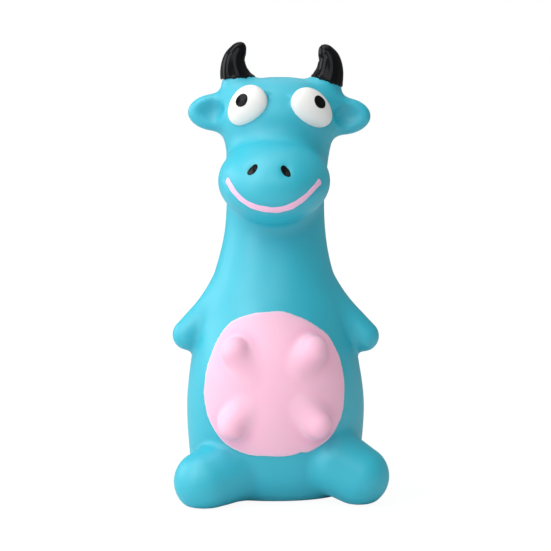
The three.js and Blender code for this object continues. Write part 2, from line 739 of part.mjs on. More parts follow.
// The mouth's outline: a band along the smile with round ends
function mouthPoints() {
	const steps = 22;
	const half = (mouthShares.width * muzzle.width) / 2;
	const middleX = muzzleLump.x + mouthShares.x * muzzle.width;
	const cornerZ = muzzleLump.z + mouthShares.z * muzzle.height;
	const drop = mouthShares.drop * muzzle.height;
	const place = (share) => [middleX + half * share, cornerZ - drop * (1 - Math.abs(share) ** mouthCurve)];
	const side = (share, offset) => {
		const centre = place(share);
		const ahead = place(Math.min(share + 1 / steps, 1));
		const behind = place(Math.max(share - 1 / steps, -1));
		const length = Math.hypot(ahead[0] - behind[0], ahead[1] - behind[1]);
		const along = [(ahead[0] - behind[0]) / length, (ahead[1] - behind[1]) / length];
		return { centre, along, point: [centre[0] - along[1] * offset, centre[1] + along[0] * offset] };
	};
	const radius = mouthLine / 2;
	const shares = Array.from({ length: steps + 1 }, (_, n) => (2 * n) / steps - 1);
	const cap = (share, sign) => {
		const { centre, along } = side(share, 0);
		return [1, 2, 3].map((n) => {
			const angle = (Math.PI * n) / 4 + Math.PI / 2;
			const [c, s] = [Math.cos(angle) * radius * sign, Math.sin(angle) * radius * sign];
			return [centre[0] + along[0] * c - along[1] * s, centre[1] + along[1] * c + along[0] * s];
		});
	};
	const under = shares.map((share) => side(share, -radius).point);
	const over = shares.map((share) => side(share, radius).point).reverse();
	return [...under, ...cap(1, -1), ...over, ...cap(-1, 1)];
}

const skinGrown = outside(clearance);
const skinPainted = outside(clearance + film);

// A coat of paint that fills an outline on the front of what carries it
function coat(points, carrier) {
	return skinPainted.intersect(outlineCutter(points, carrier.y)).subtract(skinGrown);
}

function eyeWhite(eye) {
	return eyeSolid(eye, clearance + film).subtract(skinGrown);
}

// A pupil lies on the white of its eye
function pupilCoat(eye) {
	const points = ovalPoints(eye.pupilX, eye.pupilZ, pupil.height, pupil.width, eye.lean, 16);
	const cutter = outlineCutter(points, frontOf(bodyDistance, eye.pupilX, eye.pupilZ));
	const low = eyeSolid(eye, 2 * clearance + film);
	return eyeSolid(eye, 2 * clearance + 2 * film).intersect(cutter).subtract(low);
}

function nostrilCoat(shares) {
	const x = muzzleLump.x + shares.x * muzzle.width;
	const z = muzzleLump.z + shares.z * muzzle.height;
	return coat(ovalPoints(x, z, nostril.height, nostril.width, -shares.lean, 14), muzzleLump);
}

function hornCoat(shares) {
	return hornSolid(shares, clearance + film, hornPaintShare).subtract(skinGrown);
}

function squeakerHousing() {
	const barbRadius = neckRadius + barb.stand;
	return turned([
		[soundHole, flangeLow],
		[housing.flangeRadius, flangeLow],
		[housing.flangeRadius, flangeHigh],
		[neckRadius, flangeHigh],
		[neckRadius, barbLow],
		[barbRadius, barbLow],
		[neckRadius, barbLow + barb.height],
		[neckRadius, rim],
		[boreRadius, rim],
		[boreRadius, flangeHigh],
		[soundHole, flangeHigh]
	], 32);
}

// The cover closes the cup, and its skirt holds the reed's seat
function squeakerCover() {
	const hole = reedSeat.radius + clearance;
	const skirtRadius = boreRadius - clearance;
	return turned([
		[hole, coverLow - cover.skirt],
		[skirtRadius, coverLow - cover.skirt],
		[skirtRadius, coverLow],
		[neckRadius, coverLow],
		[neckRadius, coverHigh],
		[hole, coverHigh]
	], 32);
}

// The reed's seat: a tube with a flange above, cut away below to a half-round trough
function reedSeatSolid() {
	const high = coverHigh + clearance + reedSeat.flangeThick;
	const { radius, bore } = reedSeat;
	const tube = turned([
		[0, seatLow],
		[radius, seatLow],
		[radius, high - reedSeat.flangeThick],
		[radius + reedSeat.flange, high - reedSeat.flangeThick],
		[radius + reedSeat.flange, high],
		[0, high]
	], 24);
	const channel = plug(bore, seatLow + reedSeat.flangeThick, high + overrun);
	const front = 2 * radius;
	const face = block(2 * front, front, seatLow - overrun, seatRootLow).translate(0, -front / 2, 0);
	const slotDeep = 2 * reed.lift + reed.thick;
	const slotHigh = seatRootLow + reed.grip + clearance;
	const slotWide = reed.width + 2 * clearance;
	const slot = block(slotWide, slotDeep, seatRootLow - overrun, slotHigh).translate(0, -slotDeep / 2, 0);
	return tube.subtract(channel).subtract(face).subtract(slot);
}

function reedSolid() {
	const high = seatRootLow + reed.grip;
	const tongue = block(reed.width, reed.thick, high - reed.height, high);
	return tongue.translate(0, -reed.lift - reed.thick / 2, 0);
}

function reedCollar() {
	const inner = reedSeat.radius + clearance;
	const low = seatRootLow + clearance;
	return turned([
		[inner, low],
		[inner + collar.thick, low],
		[inner + collar.thick, low + collar.height],
		[inner, low + collar.height]
	], 24);
}

const toy = new THREE.Group();

function addPiece(name, solid, look) {
	const mesh = new THREE.Mesh(geometryFromSolid(solid), material(look));
	mesh.name = name;
	toy.add(mesh);
}

addPiece('toy_skin', toySkin(), 'rubber');
addPiece('udder_coat', coat(udderPoints(), udderLump), 'pinkPaint');
addPiece('mouth_line', coat(mouthPoints(), muzzleLump), 'pinkPaint');
for (const eye of eyes) {
	addPiece(`eye_white_${eye.name}`, eyeWhite(eye), 'whitePaint');
	addPiece(`pupil_${eye.name}`, pupilCoat(eye), 'blackPaint');
}
for (const shares of nostrilShares) addPiece(`nostril_${shares.name}`, nostrilCoat(shares), 'blackPaint');
for (const shares of hornShares) addPiece(`horn_coat_${shares.name}`, hornCoat(shares), 'blackPaint');
addPiece('squeaker_housing', squeakerHousing(), 'plastic');
addPiece('squeaker_cover', squeakerCover(), 'plastic');
addPiece('reed_seat', reedSeatSolid(), 'plastic');
addPiece('reed', reedSolid(), 'brass');
addPiece('reed_collar', reedCollar(), 'brass');

// The origin is the middle of the toy's footprint, on the floor
const bounds = new THREE.Box3().setFromObject(toy);
const middle = bounds.getCenter(new THREE.Vector3());
toy.position.set(-middle.x, -middle.y, -bounds.min.z);

export default toy;
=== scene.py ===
# A rubber cow that squeaks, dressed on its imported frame. Each piece is shaped in millimetres about
# the squeaker's upright axis, and toFrame moves it to the frame, in metres, once it is finished.
import bpy
import math
import numpy as np
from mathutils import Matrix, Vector


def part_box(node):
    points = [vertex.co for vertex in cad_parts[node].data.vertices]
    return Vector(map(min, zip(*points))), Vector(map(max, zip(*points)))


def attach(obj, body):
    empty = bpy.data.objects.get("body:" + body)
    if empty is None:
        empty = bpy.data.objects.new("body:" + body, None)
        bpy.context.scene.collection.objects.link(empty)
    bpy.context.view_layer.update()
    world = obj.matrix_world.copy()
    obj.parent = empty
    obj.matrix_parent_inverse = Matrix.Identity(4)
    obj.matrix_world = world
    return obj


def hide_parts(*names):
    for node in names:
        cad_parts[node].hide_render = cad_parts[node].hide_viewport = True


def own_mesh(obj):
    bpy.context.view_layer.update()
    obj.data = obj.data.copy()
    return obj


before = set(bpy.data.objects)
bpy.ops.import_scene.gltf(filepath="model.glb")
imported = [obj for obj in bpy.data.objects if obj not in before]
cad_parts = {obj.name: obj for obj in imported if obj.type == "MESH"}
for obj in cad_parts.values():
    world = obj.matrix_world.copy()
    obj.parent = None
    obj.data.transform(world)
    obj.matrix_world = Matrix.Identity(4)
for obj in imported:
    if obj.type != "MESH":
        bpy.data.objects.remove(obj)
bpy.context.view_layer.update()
cupLow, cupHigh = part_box("squeaker_housing")
axisPlace = np.array([(cupLow[0] + cupHigh[0]) * 500, (cupLow[1] + cupHigh[1]) * 500, 0.0])
print("frame loaded, squeaker axis at", axisPlace.round(2))

# The studio: places in millimetres, the floor in metres. floorTone is how much of the floor's own white
# the camera sees near the toy, and worldTone how strongly the white sky lights it
studio = {
    "target": (0.4, 0.0, 83.3), "distance": 700, "elevation": 5, "lens": 121.7, "lampsTarget": (0, 0, 85),
    "floorWide": 8, "floorPaint": (228, 228, 228), "floorGlow": 1.05, "floorTone": 0.9,
    "fadeFrom": 0.2, "fadeRate": 4, "worldTone": 0.29,
    "lamps": [  # place, width, power
        ((-816, -685, 831), 750, 5.2), ((-992, -832, 198), 750, 3.0), ((-531, -142, 1263), 750, 4.7),
        ((0, -1065, 831), 750, 3.1), ((-1089, 292, 495), 800, 4.5), ((0, -21, 1285), 900, 2.2),
        ((0, 771, 1004), 800, 1.5), ((-520, -820, 980), 70, 0.3),
    ],
}


def clearSelection():
    if bpy.context.mode != "OBJECT":
        bpy.ops.object.mode_set(mode="OBJECT")
    bpy.ops.object.select_all(action="DESELECT")


def inFrame(place):
    return Vector((np.array(place, float) + axisPlace) / 1000)


def makeCamera():
    rise = math.radians(studio["elevation"])
    target = inFrame(studio["target"])
    back = Vector((0, -math.cos(rise), math.sin(rise))) * studio["distance"] / 1000
    clearSelection()
    bpy.ops.object.camera_add(location=target + back)
    camera = bpy.context.object
    camera.name = "camera"
    camera.data.lens = studio["lens"]
    camera.rotation_euler = (-back).to_track_quat("-Z", "Y").to_euler()
    bpy.context.scene.camera = camera


def makeLamps():
    middle = inFrame(studio["lampsTarget"])
    for number, (place, width, power) in enumerate(studio["lamps"]):
        clearSelection()
        bpy.ops.object.light_add(type="AREA", location=inFrame(place))
        lamp = bpy.context.object
        lamp.name = f"lamp{number}"
        lamp.data.shape = "DISK"
        lamp.data.size = width / 1000
        lamp.data.energy = power
        lamp.rotation_euler = (middle - lamp.location).to_track_quat("-Z", "Y").to_euler()


class Wire:  # one output of a node; sums and products on it add Math nodes
    def __init__(self, tree, socket=None):
        self.tree, self.socket = tree, socket

    def node(self, kind, settings=None, values=None, output=0):  # settings first, then numbers and links
        node = self.tree.nodes.new(kind)
        for name, value in (settings or {}).items():
            setattr(node, name, value)
        for name, value in (values or {}).items():
            if isinstance(value, Wire):
                self.tree.links.new(value.socket, node.inputs[name])
            else:
                node.inputs[name].default_value = value
        return Wire(self.tree, node.outputs[output]) if node.outputs else node

    def math(self, operation, *values):
        return self.node("ShaderNodeMath", {"operation": operation}, dict(enumerate(values)))

    def __add__(self, other):
        return self.math("ADD", self, other)

    def __sub__(self, other):
        return self.math("SUBTRACT", self, other)

    def __rsub__(self, other):
        return self.math("SUBTRACT", other, self)

    def __mul__(self, other):
        return self.math("MULTIPLY", self, other)

    def __pow__(self, other):
        return self.math("POWER", self, other)

    def __rpow__(self, other):
        return self.math("POWER", other, self)

    __radd__ = __add__
    __rmul__ = __mul__

    def limited(self):
        return self.node("ShaderNodeClamp", None, {"Value": self})

    def mixed(self, low, high):  # a colour between two, by this value
        return self.node("ShaderNodeMix", {"data_type": "RGBA"}, {0: self, 6: low, 7: high}, output=2)


def tone(red, green, blue):  # a colour as a paint shop writes it, 0 to 255
    def level(value):
        share = value / 255
        return share / 12.92 if share <= 0.04045 else ((share + 0.055) / 1.055) ** 2.4
    return (level(red), level(green), level(blue), 1.0)


def newFinish(name):  # a material, a wire in its tree, and its Object coordinates
    finish = bpy.data.materials.new(name)
    finish.use_nodes = True
    finish.node_tree.nodes.clear()
    wire = Wire(finish.node_tree)
    return finish, wire, wire.node("ShaderNodeTexCoord", output=3)


def markOn(wire, name):  # a value that the piece's own points carry
    return wire.node("ShaderNodeAttribute", {"attribute_name": name}, output=2)


def noiseOn(wire, place, scale, detail=2):
    return wire.node("ShaderNodeTexNoise", None, {"Vector": place, "Scale": scale, "Detail": detail})


def bumpOn(wire, paint, height):
    return wire.node("ShaderNodeBump", None, {
        "Strength": paint["bump"], "Distance": paint["bumpDeep"], "Height": height})


def closeFinish(wire, values):
    shader = wire.node("ShaderNodeBsdfPrincipled", None, values)
    wire.node("ShaderNodeOutputMaterial", None, {"Surface": shader})


# In each finish, through says how far light sinks in, and uneven how far roughness varies
# In the rubber, deep is a darker blue painted into the creases as shade
rubber = {
    "main": (29, 181, 203), "pale": (38, 187, 209), "deep": (14, 152, 180), "creaseShade": 0.45,
    "cloudScale": 28, "cloudContrast": 1.6, "softScale": 160, "grainScale": 2600, "grainMix": 0.6,
    "bump": 0.05, "bumpDeep": 0.0004, "roughness": 0.48, "uneven": 0.1, "ior": 1.7,
    "through": 0.3, "throughTint": (0.35, 0.9, 1.0), "throughDeep": 0.004,
}


def rubberFinish():
    finish, wire, place = newFinish("blueRubber")
    cloudy = noiseOn(wire, place, rubber["cloudScale"], 3)
    mottled = ((cloudy - 0.5) * rubber["cloudContrast"] + 0.5).limited()
    base = mottled.mixed(tone(*rubber["main"]), tone(*rubber["pale"]))
    # Painted shade: the creases turn toward the deep colour, by how far each point lies in one
    crease = (markOn(wire, "hollow") * rubber["creaseShade"]).limited()
    base = crease.mixed(base, tone(*rubber["deep"]))
    fine = noiseOn(wire, place, rubber["grainScale"])
    soft = noiseOn(wire, place, rubber["softScale"])
    bump = bumpOn(wire, rubber, fine * rubber["grainMix"] + soft * rubber["grainMix"])
    closeFinish(wire, {
        "Base Color": base, "Roughness": rubber["roughness"] + (soft - 0.5) * rubber["uneven"],
        "IOR": rubber["ior"], "Normal": bump, "Subsurface Weight": rubber["through"],
        "Subsurface Radius": rubber["throughTint"], "Subsurface Scale": rubber["throughDeep"],
    })
    return finish


# In the pink paint, deep is painted shade laid into creases such as the teats' flanks, and pale a painted
# highlight laid on ridges and along the udder's edge
pinkPaint = {
    "main": (255, 199, 222), "deep": (249, 156, 197), "pale": (255, 222, 236), "line": (255, 202, 232),
    "creaseShade": 0.9, "cloudScale": 40, "cloudShade": 0.25, "ridgeHighlight": 1.2, "rimHighlight": 0.9,
    "brushScale": 240, "grainScale": 1500, "grainMix": 0.4, "bump": 0.06, "bumpDeep": 0.0004,
    "roughness": 0.42, "uneven": 0.14, "ior": 1.45, "shine": 0.12,
    "through": 0.15, "lineThrough": 0.0, "throughTint": (1.0, 0.3, 0.4), "throughDeep": 0.003,
}


def pinkFinish(name, main, through):
    finish, wire, place = newFinish(name)
    cloudy = noiseOn(wire, place, pinkPaint["cloudScale"], 3)
    # Painted shade: deeper pink in the creases, with random cloudy mottling laid over it
    crease = markOn(wire, "hollow") * pinkPaint["creaseShade"]
    shade = (crease + (cloudy - 0.5) * pinkPaint["cloudShade"]).limited()
    base = shade.mixed(tone(*main), tone(*pinkPaint["deep"]))
    # Painted highlight: paler pink on the ridges, such as the teat tips, and along the udder paint's edge
    ridge = markOn(wire, "ridge") * pinkPaint["ridgeHighlight"]
    paintedHighlight = (ridge + markOn(wire, "rim") * pinkPaint["rimHighlight"]).limited()
    base = paintedHighlight.mixed(base, tone(*pinkPaint["pale"]))
    fine = noiseOn(wire, place, pinkPaint["grainScale"])
    brushed = noiseOn(wire, place, pinkPaint["brushScale"])
    bump = bumpOn(wire, pinkPaint, fine * pinkPaint["grainMix"] + brushed)
    closeFinish(wire, {
        "Base Color": base, "Roughness": pinkPaint["roughness"] + (brushed - 0.5) * pinkPaint["uneven"],
        "IOR": pinkPaint["ior"], "Specular IOR Level": pinkPaint["shine"], "Normal": bump,
        "Subsurface Weight": through, "Subsurface Radius": pinkPaint["throughTint"],
        "Subsurface Scale": pinkPaint["throughDeep"],
    })
    return finish


whitePaint = {
    "main": (244, 243, 240), "dull": (235, 236, 234), "cloudScale": 90, "brushScale": 420,
    "bump": 0.08, "bumpDeep": 0.0003, "roughness": 0.36, "uneven": 0.12, "ior": 1.45,
    "through": 0.08, "throughTint": (1.0, 1.0, 1.0), "throughDeep": 0.002,
}


def whiteFinish():
    finish, wire, place = newFinish("eyeWhitePaint")
    cloudy = noiseOn(wire, place, whitePaint["cloudScale"], 3)
    base = cloudy.mixed(tone(*whitePaint["dull"]), tone(*whitePaint["main"]))
    brushed = noiseOn(wire, place, whitePaint["brushScale"])
    closeFinish(wire, {
        "Base Color": base, "Roughness": whitePaint["roughness"] + (brushed - 0.5) * whitePaint["uneven"],
        "IOR": whitePaint["ior"], "Normal": bumpOn(wire, whitePaint, brushed),
        "Subsurface Weight": whitePaint["through"], "Subsurface Radius": whitePaint["throughTint"],
        "Subsurface Scale": whitePaint["throughDeep"],
    })
    return finish


blackPaint = {
    "main": (9, 10, 12), "dull": (18, 20, 23), "cloudScale": 120, "brushScale": 140,
    "bump": 0.02, "bumpDeep": 0.0003, "roughness": 0.17, "uneven": 0.1, "ior": 1.5, "shine": 0.13,
}


def blackFinish():
    finish, wire, place = newFinish("blackGlossPaint")
    cloudy = noiseOn(wire, place, blackPaint["cloudScale"], 3)
    base = (cloudy ** 2).mixed(tone(*blackPaint["main"]), tone(*blackPaint["dull"]))
    brushed = noiseOn(wire, place, blackPaint["brushScale"], 1)
    closeFinish(wire, {
        "Base Color": base, "Roughness": blackPaint["roughness"] + (brushed - 0.5) * blackPaint["uneven"],
        "IOR": blackPaint["ior"], "Specular IOR Level": blackPaint["shine"],
        "Normal": bumpOn(wire, blackPaint, brushed),
    })
    return finish


cupPlastic = {
    "main": (238, 238, 233), "dull": (226, 226, 220), "cloudScale": 200, "grainScale": 3000,
    "bump": 0.05, "bumpDeep": 0.0002, "roughness": 0.3, "uneven": 0.12, "ior": 1.49,
    "through": 0.05, "throughTint": (1.0, 1.0, 1.0), "throughDeep": 0.001,
}


def plasticFinish():
    finish, wire, place = newFinish("squeakerPlastic")
    cloudy = noiseOn(wire, place, cupPlastic["cloudScale"], 3)
    base = cloudy.mixed(tone(*cupPlastic["dull"]), tone(*cupPlastic["main"]))
    fine = noiseOn(wire, place, cupPlastic["grainScale"])
    closeFinish(wire, {
        "Base Color": base, "Roughness": cupPlastic["roughness"] + (cloudy - 0.5) * cupPlastic["uneven"],
        "IOR": cupPlastic["ior"], "Normal": bumpOn(wire, cupPlastic, fine),
        "Subsurface Weight": cupPlastic["through"], "Subsurface Radius": cupPlastic["throughTint"],
        "Subsurface Scale": cupPlastic["throughDeep"],
    })
    return finish


reedBrass = {
    "main": (226, 192, 108), "dull": (196, 158, 74), "rolledOut": (900, 900, 60), "rolledScale": 3,
    "bump": 0.1, "bumpDeep": 0.0001, "roughness": 0.28, "uneven": 0.2,
}


def brassFinish():
    finish, wire, place = newFinish("rolledBrass")
    stretched = wire.node("ShaderNodeMapping", None, {"Vector": place, "Scale": reedBrass["rolledOut"]})
    rolled = noiseOn(wire, stretched, reedBrass["rolledScale"], 3)
    base = rolled.mixed(tone(*reedBrass["dull"]), tone(*reedBrass["main"]))
    closeFinish(wire, {
        "Base Color": base, "Metallic": 1.0, "Normal": bumpOn(wire, reedBrass, rolled),
        "Roughness": reedBrass["roughness"] + (rolled - 0.5) * reedBrass["uneven"],
    })
    return finish


def makeStage():
    clearSelection()
    bpy.ops.mesh.primitive_plane_add(size=studio["floorWide"])
    floor = bpy.context.object
    floor.name = "floor"
    finish, wire, place = newFinish("floorWhite")
    seen = wire.node("ShaderNodeLightPath")  # 1 where the camera looks at it
    away = wire.node("ShaderNodeVectorMath", {"operation": "LENGTH"}, {0: place}, output=1)
    far = ((away - studio["fadeFrom"]) * studio["fadeRate"]).limited()
    paint = wire.node("ShaderNodeBsdfDiffuse", None, {"Color": tone(*studio["floorPaint"])})
    bright = wire.node("ShaderNodeEmission", None, {"Color": (1, 1, 1, 1), "Strength": studio["floorGlow"]})
    share = far * (1 - studio["floorTone"]) + studio["floorTone"]
    shown = wire.node("ShaderNodeMixShader", None, {0: seen * share, 1: paint, 2: bright})
    wire.node("ShaderNodeOutputMaterial", None, {"Surface": shown})
    floor.data.materials.append(finish)
    world = bpy.data.worlds.new("studio")
    world.use_nodes = True
    world.node_tree.nodes.clear()
    wire = Wire(world.node_tree)
    seen = wire.node("ShaderNodeLightPath")
    strength = seen * (1 - studio["worldTone"]) + studio["worldTone"]
    sky = wire.node("ShaderNodeBackground", None, {"Color": (1, 1, 1, 1), "Strength": strength})
    wire.node("ShaderNodeOutputWorld", None, {"Surface": sky})
    bpy.context.scene.world = world


def pointsOf(piece):
    points = np.empty(len(piece.data.vertices) * 3)
    piece.data.vertices.foreach_get("co", points)
    return points.reshape(-1, 3)


def movePoints(piece, points):
    piece.data.vertices.foreach_set("co", points.ravel())
    piece.data.update()


def edgesOf(piece):
    ends = np.empty(len(piece.data.edges) * 2, int)
    piece.data.edges.foreach_get("vertices", ends)
    return ends.reshape(-1, 2)


def pickOnly(piece):
    clearSelection()
    piece.select_set(True)
    bpy.context.view_layer.objects.active = piece


def faceOutward(piece, merge=None):  # points nearer than merge become one first
    pickOnly(piece)
    bpy.ops.object.mode_set(mode="EDIT")
    bpy.ops.mesh.select_all(action="SELECT")
    if merge:
        bpy.ops.mesh.remove_doubles(threshold=merge)
    bpy.ops.mesh.normals_make_consistent(inside=False)
    bpy.ops.object.mode_set(mode="OBJECT")


def netPiece(name, points, faces):
    mesh = bpy.data.meshes.new(name)
    mesh.from_pydata([tuple(p) for p in points], [], [tuple(map(int, f)) for f in faces])
    piece = bpy.data.objects.new(name, mesh)
    bpy.context.collection.objects.link(piece)
    faceOutward(piece)
    return piece


def gridFaces(rows, columns, closed=False):  # the faces between rows of points, round or open
    return [(row * columns + n, row * columns + (n + 1) % columns,
             (row + 1) * columns + (n + 1) % columns, (row + 1) * columns + n)
            for row in range(rows - 1) for n in range(columns if closed else columns - 1)]


def toFrame(piece, name, finish, angle=None):  # an edge sharper than angle stays sharp
    movePoints(piece, (pointsOf(piece) + axisPlace) / 1000)
    piece.name = piece.data.name = name
    piece.data.materials.clear()
    piece.data.materials.append(finish)
    pickOnly(piece)
    if angle:
        bpy.ops.object.shade_smooth_by_angle(angle=math.radians(angle))
    else:
        bpy.ops.object.shade_smooth()


def softMin(a, b, reach):  # joins two distances with a fillet
    near = np.maximum(reach - np.abs(a - b), 0) / reach
    return np.minimum(a, b) - near * near * reach / 4


def softMax(a, b, reach):  # keeps what is inside both, with a rounded edge
    return -softMin(-a, -b, reach)


def ovalDistance(offset, half):
    scaled = np.sqrt(((offset / half) ** 2).sum(1))
    slope = np.sqrt(((offset / np.square(half)) ** 2).sum(1))
    return scaled * (scaled - 1) / np.maximum(slope, 1e-9)


def lumpDistance(p, lump):  # an oval lump, its front dipped by its pitch
    offset = p - np.array(lump["at"])
    dip = math.radians(lump.get("pitch", 0))
    long, high = offset[:, 1], offset[:, 2]
    turned = [offset[:, 0], long * math.cos(dip) + high * math.sin(dip),
              high * math.cos(dip) - long * math.sin(dip)]
    return ovalDistance(np.stack(turned, axis=1), np.array(lump["size"]) / 2)


def limbDistance(p, start, end, startRadius, endRadius):
    start, end = np.array(start, float), np.array(end, float)
    along = end - start
    share = np.clip((p - start) @ along / (along @ along), 0, 1)
    gap = np.linalg.norm(p - start - share[:, None] * along, axis=1)
    return gap - (startRadius + share * (endRadius - startRadius))


def smoothThrough(table, column, at):  # a smooth curve through a table whose first column rises
    rows = np.array(table, float)
    x, y = rows[:, 0], rows[:, column]
    before, after = np.maximum(np.arange(len(x)) - 1, 0), np.minimum(np.arange(len(x)) + 1, len(x) - 1)
    slope = (y[after] - y[before]) / (x[after] - x[before])
    at = np.clip(at, x[0], x[-1])
    n = np.clip(np.searchsorted(x, at) - 1, 0, len(x) - 2)
    span = x[n + 1] - x[n]
    s = (at - x[n]) / span
    return (y[n] * (2 * s**3 - 3 * s**2 + 1) + y[n + 1] * (3 * s**2 - 2 * s**3)
            + slope[n] * span * (s**3 - 2 * s**2 + s) + slope[n + 1] * span * (s**3 - s**2))


def slopeOf(field, p, probe=0.05):
    here = field(p)
    slope = np.stack([(field(p + step) - here) / probe for step in np.eye(3) * probe], axis=1)
    steep = np.linalg.norm(slope, axis=1)
    return here, slope / steep[:, None], steep


def settled(p, field, turns, longest=0.8):  # slides points onto a form, by the longest step at most
    for turn in range(turns):
        here, slope, steep = slopeOf(field, p)
        p = p - slope * np.clip(here / steep, -longest, longest)[:, None]
    return p


def evenedOut(p, edges, share):
    total = np.stack([np.bincount(edges[:, 0], p[edges[:, 1], n], len(p))
                      + np.bincount(edges[:, 1], p[edges[:, 0], n], len(p)) for n in range(3)], axis=1)
    count = np.bincount(edges.ravel(), minlength=len(p))
    return p + share * (total / count[:, None] - p)


def castBack(field, p, direction, far, deep, height=0.0, stride=0.8):  # where rays first meet a form
    direction = np.broadcast_to(np.array(direction, float), p.shape)
    outside, inside = np.full(len(p), -far, float), np.full(len(p), deep, float)
    steps = np.linspace(-far, deep, int((far + deep) / stride) + 3)
    found = np.zeros(len(p), bool)
    for low, high in zip(steps[:-1], steps[1:]):
        hit = ~found & (field(p + high * direction) < height)
        outside[hit], inside[hit] = low, high
        found |= hit
    for halving in range(16):
        middle = (outside + inside) / 2
        out = field(p + middle[:, None] * direction) > height
        outside, inside = np.where(out, middle, outside), np.where(out, inside, middle)
    return p + inside[:, None] * direction


# The finishes turn the crease mark into painted shade and the ridge mark into painted highlight
def markRelief(piece, field, reach):  # how far each point lies in a crease or on a ridge
    p = pointsOf(piece)
    here, slope, steep = slopeOf(field, p)
    over, under = field(p + slope * reach) - here, here - field(p - slope * reach)
    for name, value in (("hollow", 1 - over / reach), ("ridge", 1 - under / reach)):
        layer = piece.data.attributes.new(name, "FLOAT", "POINT")
        layer.data.foreach_set("value", np.clip(value, 0, 1))


# The moulded form, as distances from its outside: below zero is within the rubber
body = {
    "stations": [  # height, width, depth, back, aside
        (1.6, 61.6, 44.5, 1.0, 0.0), (33.6, 66.8, 58.0, 0.0, 0.4), (55.6, 61.8, 53.0, 0.0, 0.1),
        (71.6, 54.6, 46.0, 1.0, 0.0), (85.6, 44.0, 38.5, 2.0, -0.2), (99.6, 38.0, 34.0, 2.5, 0.2),
        (115.6, 36.6, 33.0, 2.5, 0.5), (128.6, 38.2, 34.0, 1.5, 1.3), (142.6, 43.5, 37.0, 0.5, 1.4),
        (155.6, 43.0, 36.0, 0.5, 2.0),
    ],
    "crown": 157.5, "crownRound": 20, "under": 1.5, "underRound": 14,
    "muzzle": {"at": (-0.1, -16.8, 119.5), "size": (40.9, 44.0, 29.8), "pitch": 12}, "muzzleBlend": 7.5,
    "arms": [((-17.6, 0, 75), (-32.4, -3.5, 61.4)), ((17.6, 0, 75), (33.4, -3.5, 60.9))],
    "armRadii": (7.5, 5.8), "armBlend": 3.6,
    "legs": [((-17.2, -15.0, 12.2), (-25.7, -21.2, 9.2)), ((22.7, -14.4, 15.2), (31.2, -16.8, 10.4))],
    "legRadii": (12.4, 11.3), "legBlend": 2.6,
}


def trunkDistance(p):
    height = p[:, 2]
    width, depth, back, aside = (smoothThrough(body["stations"], n, height) for n in (1, 2, 3, 4))
    offset = np.stack([p[:, 0] - aside, p[:, 1] - back], axis=1)
    side = ovalDistance(offset, np.stack([width, depth], axis=1) / 2)
    topped = softMax(side, height - body["crown"], body["crownRound"])
    return softMax(topped, -body["under"] - height, body["underRound"])


udder = {  # each teat's root and tip as seen from the front, x and z
    "at": (-0.3, -11.5, 45.1), "size": (54.0, 40.5, 60.0), "blend": 5,
    "teats": [((-9.0, 50.4), (-14.3, 58.2)), ((8.6, 52.6), (14.1, 58.8)),
              ((-10.4, 37.6), (-15.5, 30.9)), ((9.8, 38.0), (15.8, 31.4))],
    "teatRadii": (4.5, 4.8), "rootSunk": 4.3, "tipStand": 1.4, "teatBlend": 3.4,
}


def bellyDistance(p):  # the body without its teats and ears
    whole = softMin(trunkDistance(p), lumpDistance(p, body["muzzle"]), body["muzzleBlend"])
    for start, end in body["arms"]:
        whole = softMin(whole, limbDistance(p, start, end, *body["armRadii"]), body["armBlend"])
    for start, end in body["legs"]:
        whole = softMin(whole, limbDistance(p, start, end, *body["legRadii"]), body["legBlend"])
    return softMin(whole, lumpDistance(p, udder), udder["blend"])


def onFront(field, x, z, behind=0.0):
    spot = castBack(field, np.array([[x, 0.0, z]]), (0, 1, 0), 45, 0)[0]
    return np.array([x, spot[1] + behind, z])


def teatLimb(root, tip):
    start = onFront(bellyDistance, *root, udder["rootSunk"])
    return start, onFront(bellyDistance, *tip, -udder["tipStand"])


teatLimbs = [teatLimb(root, tip) for root, tip in udder["teats"]]

ears = {
    "at": [(-21.1, 0.5, 144.4), (24.7, 0.5, 143.0)], "size": (22.3, 9.6, 14.0), "blend": 4.5,
    "dishOut": 1.0, "dishUp": 0.5, "dishSize": (14.4, 6.8, 8.2), "dishBlend": 2.6,
}


def earDistance(p, place):
    leaf = lumpDistance(p, {"at": place, "size": ears["size"]})
    outward = math.copysign(1, place[0])
    dish = (place[0] + outward * ears["dishOut"], place[1] - ears["size"][1] / 2, place[2] + ears["dishUp"])
    return softMax(leaf, -lumpDistance(p, {"at": dish, "size": ears["dishSize"]}), ears["dishBlend"])


def plainDistance(p):  # the body before the eyes, horns, nostrils and mouth
    whole = bellyDistance(p)
    for place in ears["at"]:
        whole = softMin(whole, earDistance(p, place), ears["blend"])
    for root, tip in teatLimbs:
        whole = softMin(whole, limbDistance(p, root, tip, *udder["teatRadii"]), udder["teatBlend"])
    return whole


